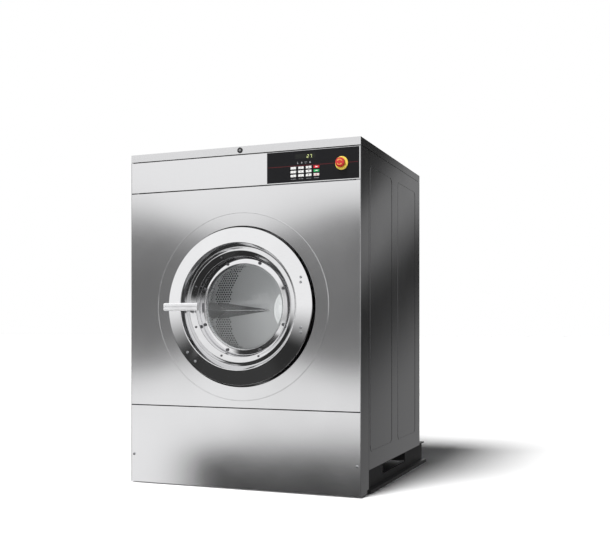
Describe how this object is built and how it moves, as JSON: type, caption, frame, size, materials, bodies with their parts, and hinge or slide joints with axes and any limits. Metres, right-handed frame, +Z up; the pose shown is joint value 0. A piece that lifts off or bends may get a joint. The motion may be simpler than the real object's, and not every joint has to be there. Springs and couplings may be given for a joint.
{
  "type": "industrial washing machine",
  "caption": "Floor-mounted front-loading industrial washer with a round glazed door, perforated drum, belt drive, keypad and a hinged top cover over the supply dispenser.",
  "frame": {"origin": "centre of the bounding box on the floor", "axes": "+X to the right of the front, +Y from the front to the back, +Z up"},
  "size_m": [1.066, 1.1, 1.436],
  "materials": {
    "base_paint": "satin black powder coat",
    "frame_steel": "dark grey powder coat",
    "side_steel": "dark brushed stainless steel",
    "front_steel": "brushed stainless steel",
    "overlay_black": "gloss black polyester overlay",
    "rear_steel": "galvanised sheet",
    "screw_steel": "bright stainless screws",
    "tub_steel": "mill-finish stainless steel",
    "gasket_rubber": "matt black rubber",
    "cast_housing": "painted cast iron",
    "bearing_steel": "ground bearing steel",
    "belt_rubber": "fabric-faced drive belt",
    "motor_paint": "blue-grey enamel",
    "drain_metal": "grey cast body",
    "turned_steel": "turned steel",
    "valve_plastic": "moulded nylon valve body",
    "hose_rubber": "smooth black hose",
    "dispenser_plastic": "moulded polypropylene",
    "box_metal": "grey sheet-metal case",
    "stop_yellow": "yellow moulded plastic",
    "stop_red": "red moulded plastic",
    "lock_case": "zinc-plated case",
    "hinge_steel": "zinc-plated steel",
    "ring_chrome": "polished stainless steel",
    "funnel_steel": "polished casting",
    "clamp_steel": "turned stainless ring",
    "door_glass": "clear heat-proof glass",
    "drum_steel": "perforated stainless steel",
    "pulley_iron": "machined cast iron",
    "cover_steel": "brushed stainless steel",
    "lid_black": "black moulded plastic",
    "key_white": "white key cap",
    "key_red": "red key cap",
    "key_green": "green key cap",
    "key_pale": "pale key cap"
  },
  "bodies": {
    "cabinet": {"base_frame": "base_paint", "front_frame": "frame_steel", "side_panel_left": "side_steel", "side_panel_right": "side_steel", "front_panel": "front_steel", "lower_front_panel": "front_steel", "control_fascia": "front_steel", "control_overlay": "overlay_black", "rear_panel": "rear_steel", "cabinet_screws": "screw_steel", "outer_tub": "tub_steel", "door_gasket": "gasket_rubber", "bearing_housing": "cast_housing", "shaft_bearings": "bearing_steel", "shaft_seal": "gasket_rubber", "drive_belts": "belt_rubber", "motor_housing": "motor_paint", "motor_mount": "base_paint", "drain_valve": "drain_metal", "inlet_valves": "valve_plastic", "fill_hoses": "hose_rubber", "supply_dispenser": "dispenser_plastic", "control_box": "box_metal", "estop_collar": "stop_yellow", "door_lock": "lock_case", "hinge_bracket": "hinge_steel"},
    "door": {"door_ring": "ring_chrome", "door_funnel": "funnel_steel", "glass_clamp": "clamp_steel", "door_fasteners": "screw_steel", "door_glass": "door_glass", "glass_gasket": "gasket_rubber", "hinge_leaf": "hinge_steel"},
    "handle": {"door_handle": "ring_chrome", "handle_shaft": "turned_steel"},
    "drum": {"drum_shell": "drum_steel", "drum_back": "drum_steel", "drum_lifters": "drum_steel", "drum_shaft": "turned_steel", "drum_pulley": "pulley_iron"},
    "rotor": {"motor_rotor": "turned_steel", "motor_pulley": "pulley_iron"},
    "stop_button": {"estop_button": "stop_red"},
    "cover": {"top_cover": "cover_steel"},
    "key_lock": {"lock_core": "lid_black"},
    "lid": {"dispenser_lid": "lid_black"},
    "bolt": {"lock_bolt": "turned_steel"},
    "ball": {"drain_ball": "turned_steel"},
    "key_1_cap": {"key_1": "key_white"},
    "key_2_cap": {"key_2": "key_white"},
    "key_3_cap": {"key_3": "key_white"},
    "key_4_cap": {"key_4": "key_red"},
    "key_5_cap": {"key_5": "key_white"},
    "key_6_cap": {"key_6": "key_white"},
    "key_7_cap": {"key_7": "key_white"},
    "key_8_cap": {"key_8": "key_green"},
    "key_9_cap": {"key_9": "key_white"},
    "key_10_cap": {"key_10": "key_white"},
    "key_11_cap": {"key_11": "key_white"},
    "key_12_cap": {"key_12": "key_pale"}
  },
  "joints": [
    {"name": "door_swing", "type": "hinge", "parent": "cabinet", "child": "door", "pos_m": [0.303, -0.512, 0.761], "axis": [0, 0, 1], "range_deg": [0, 110]},
    {"name": "handle_turn", "type": "hinge", "parent": "door", "child": "handle", "pos_m": [-0.29, -0.53, 0.761], "axis": [0, 1, 0], "range_deg": [0, 60]},
    {"name": "drum_spin", "type": "hinge", "parent": "cabinet", "child": "drum", "pos_m": [0, -0.1, 0.761], "axis": [0, 1, 0], "continuous": true},
    {"name": "motor_spin", "type": "hinge", "parent": "cabinet", "child": "rotor", "pos_m": [0.33, 0.2, 0.24], "axis": [0, 1, 0], "continuous": true},
    {"name": "stop_press", "type": "slide", "parent": "cabinet", "child": "stop_button", "axis": [0, 1, 0], "range_m": [0, 0.004], "stiffness_N_per_m": 1500},
    {"name": "cover_lift", "type": "hinge", "parent": "cabinet", "child": "cover", "pos_m": [0, 0.457, 1.391], "axis": [-1, 0, 0], "range_deg": [0, 65]},
    {"name": "key_lock_turn", "type": "hinge", "parent": "cover", "child": "key_lock", "pos_m": [0, -0.49, 1.409], "axis": [0, 1, 0], "range_deg": [0, 90]},
    {"name": "lid_lift", "type": "hinge", "parent": "cover", "child": "lid", "pos_m": [-0.316, -0.249, 1.424], "axis": [-1, 0, 0], "range_deg": [0, 100]},
    {"name": "bolt_slide", "type": "slide", "parent": "cabinet", "child": "bolt", "axis": [1, 0, 0], "range_m": [0, 0.01], "stiffness_N_per_m": 200},
    {"name": "drain_turn", "type": "hinge", "parent": "cabinet", "child": "ball", "pos_m": [0, 0.23, 0.195], "axis": [0, 0, 1], "range_deg": [0, 90]},
    {"name": "key_1_press", "type": "slide", "parent": "cabinet", "child": "key_1_cap", "axis": [0, 1, 0], "range_m": [0, 0.001], "stiffness_N_per_m": 500},
    {"name": "key_2_press", "type": "slide", "parent": "cabinet", "child": "key_2_cap", "axis": [0, 1, 0], "range_m": [0, 0.001], "stiffness_N_per_m": 500},
    {"name": "key_3_press", "type": "slide", "parent": "cabinet", "child": "key_3_cap", "axis": [0, 1, 0], "range_m": [0, 0.001], "stiffness_N_per_m": 500},
    {"name": "key_4_press", "type": "slide", "parent": "cabinet", "child": "key_4_cap", "axis": [0, 1, 0], "range_m": [0, 0.001], "stiffness_N_per_m": 500},
    {"name": "key_5_press", "type": "slide", "parent": "cabinet", "child": "key_5_cap", "axis": [0, 1, 0], "range_m": [0, 0.001], "stiffness_N_per_m": 500},
    {"name": "key_6_press", "type": "slide", "parent": "cabinet", "child": "key_6_cap", "axis": [0, 1, 0], "range_m": [0, 0.001], "stiffness_N_per_m": 500},
    {"name": "key_7_press", "type": "slide", "parent": "cabinet", "child": "key_7_cap", "axis": [0, 1, 0], "range_m": [0, 0.001], "stiffness_N_per_m": 500},
    {"name": "key_8_press", "type": "slide", "parent": "cabinet", "child": "key_8_cap", "axis": [0, 1, 0], "range_m": [0, 0.001], "stiffness_N_per_m": 500},
    {"name": "key_9_press", "type": "slide", "parent": "cabinet", "child": "key_9_cap", "axis": [0, 1, 0], "range_m": [0, 0.001], "stiffness_N_per_m": 500},
    {"name": "key_10_press", "type": "slide", "parent": "cabinet", "child": "key_10_cap", "axis": [0, 1, 0], "range_m": [0, 0.001], "stiffness_N_per_m": 500},
    {"name": "key_11_press", "type": "slide", "parent": "cabinet", "child": "key_11_cap", "axis": [0, 1, 0], "range_m": [0, 0.001], "stiffness_N_per_m": 500},
    {"name": "key_12_press", "type": "slide", "parent": "cabinet", "child": "key_12_cap", "axis": [0, 1, 0], "range_m": [0, 0.001], "stiffness_N_per_m": 500}
  ],
  "couplings": [
    {"joint": "motor_spin", "follows": "drum_spin", "ratio": 6.6667}
  ]
}
